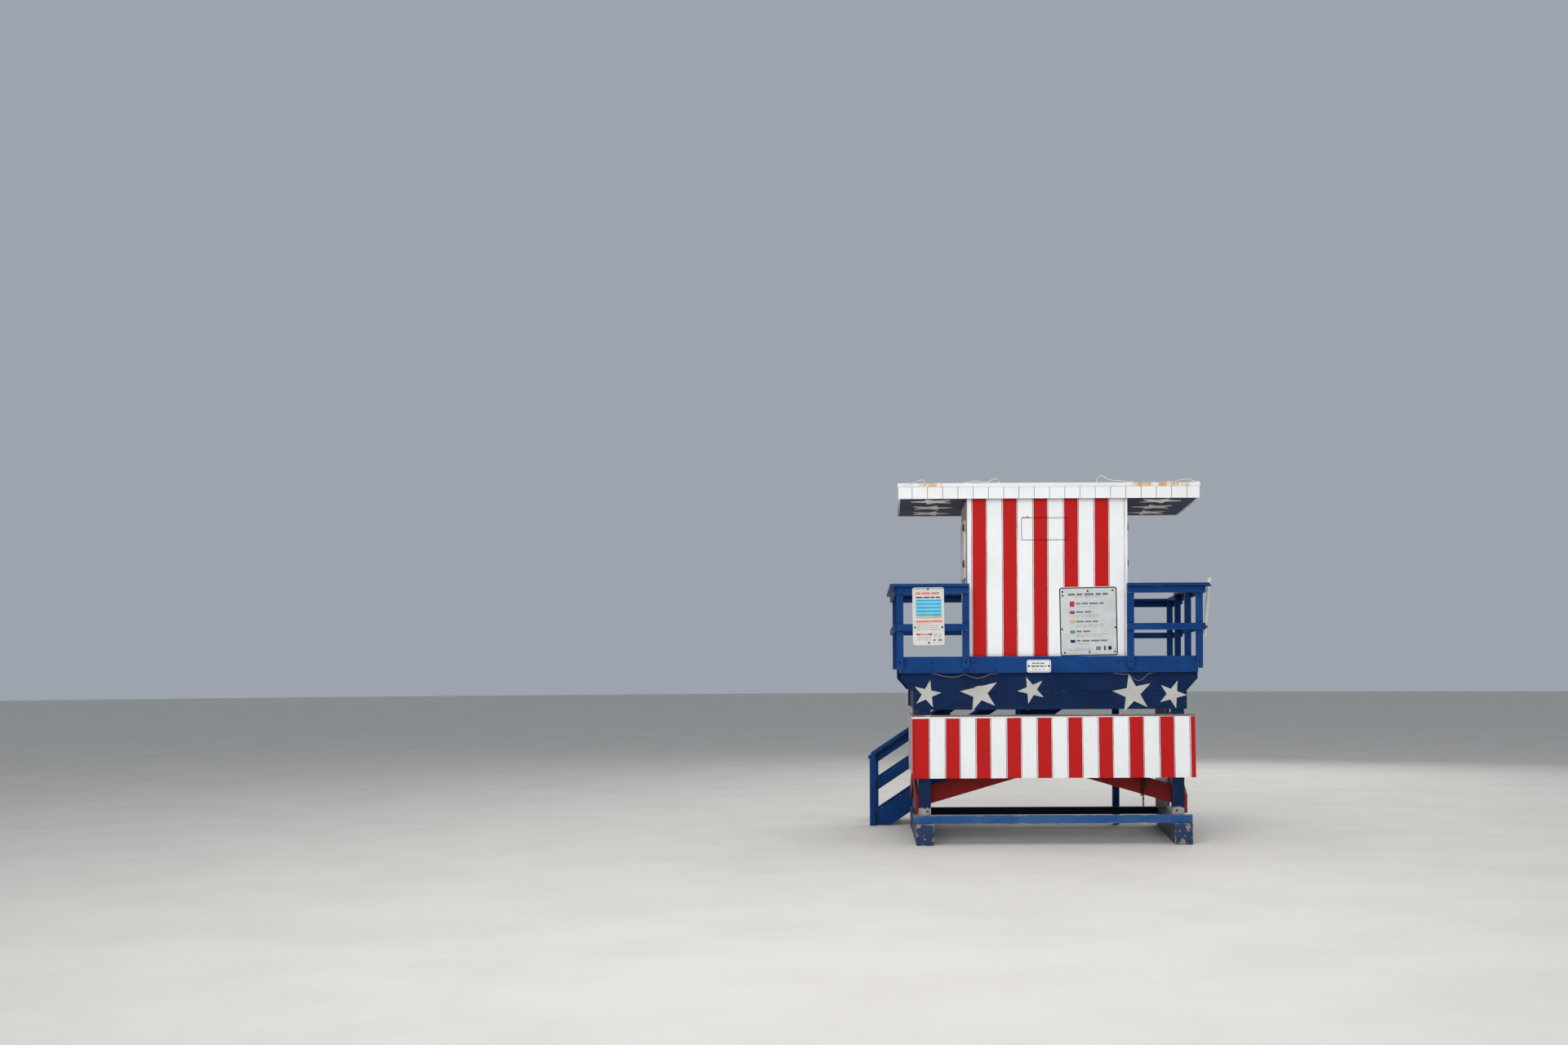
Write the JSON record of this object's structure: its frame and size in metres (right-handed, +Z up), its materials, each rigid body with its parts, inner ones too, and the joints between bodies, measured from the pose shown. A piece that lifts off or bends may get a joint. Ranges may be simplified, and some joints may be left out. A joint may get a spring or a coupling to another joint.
{
  "type": "lifeguard tower",
  "caption": "Timber lifeguard tower on skids: striped hut under a flat roof, railed deck, slatted stair and landing on the sea side.",
  "frame": {"origin": "on the ground, in the middle of the whole outline with the stair and landing", "axes": "+Z up; -Y is the land side that the picture shows; +Y is towards the sea; +X is to the right from the land side"},
  "size_m": [4.8466, 4.402, 4.9194],
  "materials": {
    "blue_paint": "weathered gloss house paint over sawn timber",
    "navy_paint": "weathered dark blue house paint",
    "white_paint": "white house paint over grooved plywood siding",
    "red_paint": "red house paint over sawn timber",
    "striped_siding": "grooved plywood siding painted in red and white stripes",
    "cream_paint": "cream paint over plywood cut-outs",
    "deck_boards": "worn grey decking boards",
    "bare_timber": "unpainted weathered timber",
    "roof_sheet": "white roof sheet with a rust-stained drip edge",
    "white_plastic": "sun-aged white plastic tube",
    "black_plastic": "black cable tie",
    "white_wire": "white sheath of a thin wire",
    "grey_cable": "grey sheath of a thin cable"
  },
  "bodies": {
    "root": {"back_girders": "navy_paint", "back_legs": "bare_timber", "back_rails": "blue_paint", "base_beams": "blue_paint", "cable_clips": "navy_paint", "deck_fascias": "blue_paint", "deck_floor": "deck_boards", "door_header": "striped_siding", "end_roof_wire": "white_wire", "far_stair_rails": "blue_paint", "floor_joists": "bare_timber", "front_braces": "red_paint", "front_girders": "navy_paint", "front_legs": "blue_paint", "front_rails": "blue_paint", "front_skirt": "striped_siding", "front_skirt_rail": "navy_paint", "girder_stars": "cream_paint", "land_wall": "striped_siding", "landing_floor": "deck_boards", "landing_frame": "blue_paint", "landing_posts": "blue_paint", "landing_rails": "blue_paint", "landing_supports": "blue_paint", "left_cable": "grey_cable", "left_rails": "blue_paint", "left_roof_wire": "white_wire", "left_skid": "blue_paint", "left_wall": "striped_siding", "middle_roof_wire": "white_wire", "near_stair_rails": "blue_paint", "pole_ties": "black_plastic", "railing_posts": "blue_paint", "right_cable": "grey_cable", "right_rails": "blue_paint", "right_roof_wire": "white_wire", "right_skid": "blue_paint", "right_wall": "striped_siding", "roof_fascias": "white_paint", "roof_soffit": "navy_paint", "roof_top": "roof_sheet", "roof_wire_clips": "roof_sheet", "sea_wall": "striped_siding", "sea_wall_end": "striped_siding", "side_beams": "navy_paint", "side_braces": "red_paint", "side_shutters": "white_paint", "side_skirts": "striped_siding", "soffit_stars": "cream_paint", "stair_posts": "blue_paint", "stair_stringers": "blue_paint", "stair_treads": "deck_boards", "vent_hatch": "striped_siding", "white_pole": "white_plastic"}
  },
  "joints": []
}
